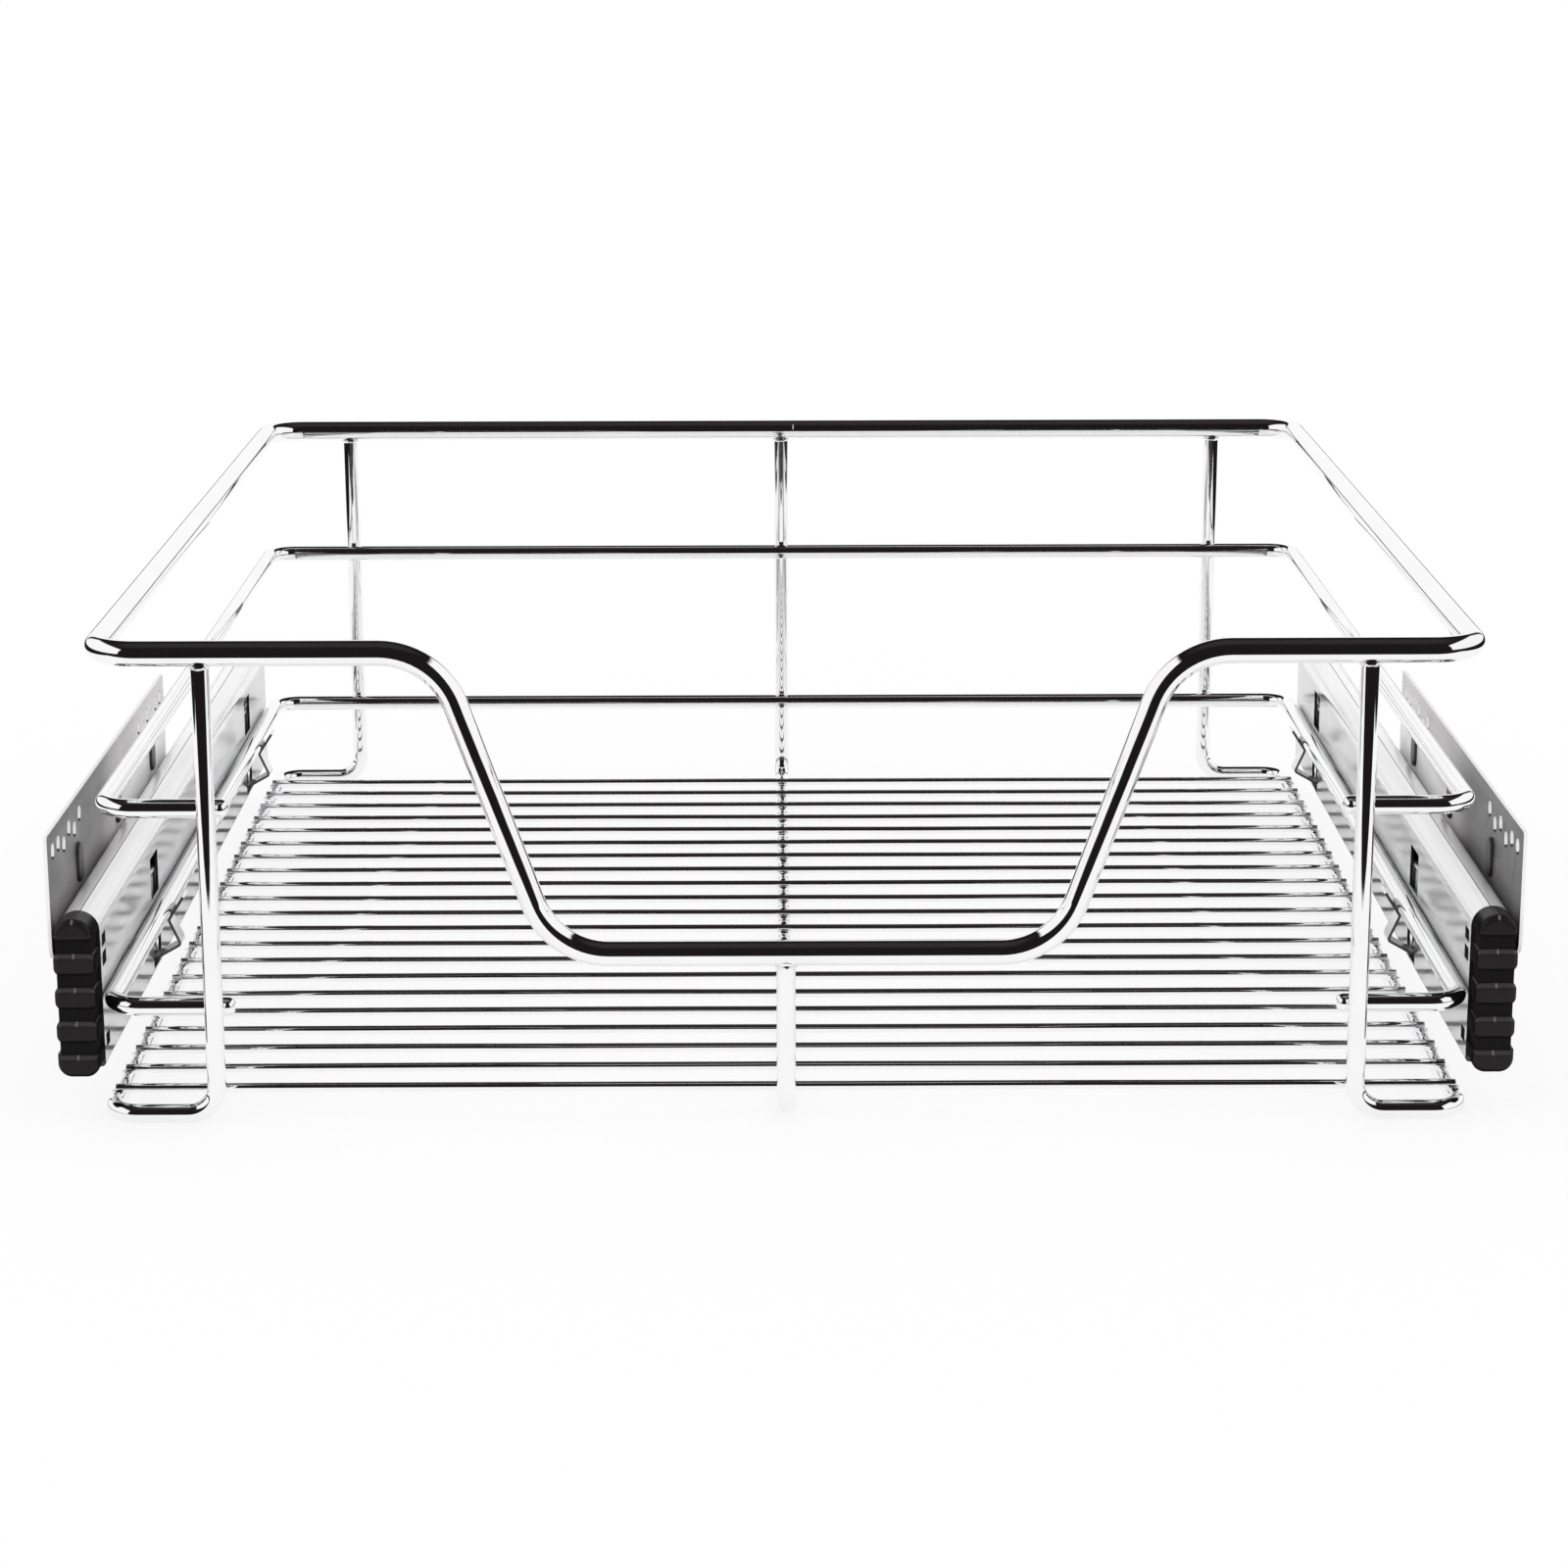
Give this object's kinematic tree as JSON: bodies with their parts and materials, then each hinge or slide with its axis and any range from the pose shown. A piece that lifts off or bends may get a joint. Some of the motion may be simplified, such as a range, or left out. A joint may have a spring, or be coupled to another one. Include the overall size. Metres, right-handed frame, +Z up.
{
  "type": "pull-out basket drawer",
  "caption": "Chromed wire pull-out basket with a dipped front rim, hung between full-extension ball-bearing slides with screw-on cabinet plates and capped covers.",
  "frame": {"origin": "middle of the whole part's footprint, level with the underside of the basket's base frame", "axes": "+X across the cabinet to the right, -Y the way the basket pulls out, +Z up"},
  "size_m": [0.464, 0.44, 0.156],
  "materials": {
    "chrome_wire": "polished chrome plate",
    "plate_steel": "zinc plated sheet",
    "rail_steel": "zinc plated rolled steel",
    "cover_steel": "bright zinc plated sheet",
    "clip_steel": "plated spring steel",
    "cage_steel": "thin oiled sheet",
    "ball_steel": "polished bearing steel",
    "rivet_steel": "plated, flush",
    "cap_plastic": "matte black moulding",
    "bumper_plastic": "soft black moulding"
  },
  "bodies": {
    "cabinet_side": {"left_cabinet_plate": "plate_steel", "left_plate_rivets": "rivet_steel", "left_fixed_rail": "rail_steel", "left_rear_bumper": "bumper_plastic", "right_cabinet_plate": "plate_steel", "right_plate_rivets": "rivet_steel", "right_fixed_rail": "rail_steel", "right_rear_bumper": "bumper_plastic"},
    "basket": {"rim_wire": "chrome_wire", "middle_ring_wire": "chrome_wire", "lower_ring_wire": "chrome_wire", "left_side_frame_wire": "chrome_wire", "right_side_frame_wire": "chrome_wire", "centre_frame_wire": "chrome_wire", "base_cross_wires": "chrome_wire", "left_inner_rail": "rail_steel", "left_slide_cover": "cover_steel", "left_cover_rivets": "rivet_steel", "left_end_cap": "cap_plastic", "left_basket_clips": "clip_steel", "right_inner_rail": "rail_steel", "right_slide_cover": "cover_steel", "right_cover_rivets": "rivet_steel", "right_end_cap": "cap_plastic", "right_basket_clips": "clip_steel"},
    "left_middle_rail_body": {"left_middle_rail": "rail_steel"},
    "left_outer_cage_body": {"left_outer_ball_cage": "cage_steel", "left_outer_balls": "ball_steel"},
    "left_inner_cage_body": {"left_inner_ball_cage": "cage_steel", "left_inner_balls": "ball_steel"},
    "right_middle_rail_body": {"right_middle_rail": "rail_steel"},
    "right_outer_cage_body": {"right_outer_ball_cage": "cage_steel", "right_outer_balls": "ball_steel"},
    "right_inner_cage_body": {"right_inner_ball_cage": "cage_steel", "right_inner_balls": "ball_steel"}
  },
  "joints": [
    {"name": "basket_slide", "type": "slide", "parent": "cabinet_side", "child": "basket", "axis": [0, -1, 0], "range_m": [0, 0.4]},
    {"name": "left_middle_rail_slide", "type": "slide", "parent": "cabinet_side", "child": "left_middle_rail_body", "axis": [0, -1, 0], "range_m": [0, 0.2]},
    {"name": "left_outer_cage_slide", "type": "slide", "parent": "cabinet_side", "child": "left_outer_cage_body", "axis": [0, -1, 0], "range_m": [0, 0.1]},
    {"name": "left_inner_cage_slide", "type": "slide", "parent": "cabinet_side", "child": "left_inner_cage_body", "axis": [0, -1, 0], "range_m": [0, 0.3]},
    {"name": "right_middle_rail_slide", "type": "slide", "parent": "cabinet_side", "child": "right_middle_rail_body", "axis": [0, -1, 0], "range_m": [0, 0.2]},
    {"name": "right_outer_cage_slide", "type": "slide", "parent": "cabinet_side", "child": "right_outer_cage_body", "axis": [0, -1, 0], "range_m": [0, 0.1]},
    {"name": "right_inner_cage_slide", "type": "slide", "parent": "cabinet_side", "child": "right_inner_cage_body", "axis": [0, -1, 0], "range_m": [0, 0.3]}
  ],
  "couplings": [
    {"joint": "left_middle_rail_slide", "follows": "basket_slide", "ratio": 0.5},
    {"joint": "left_outer_cage_slide", "follows": "basket_slide", "ratio": 0.25},
    {"joint": "left_inner_cage_slide", "follows": "basket_slide", "ratio": 0.75},
    {"joint": "right_middle_rail_slide", "follows": "basket_slide", "ratio": 0.5},
    {"joint": "right_outer_cage_slide", "follows": "basket_slide", "ratio": 0.25},
    {"joint": "right_inner_cage_slide", "follows": "basket_slide", "ratio": 0.75}
  ]
}
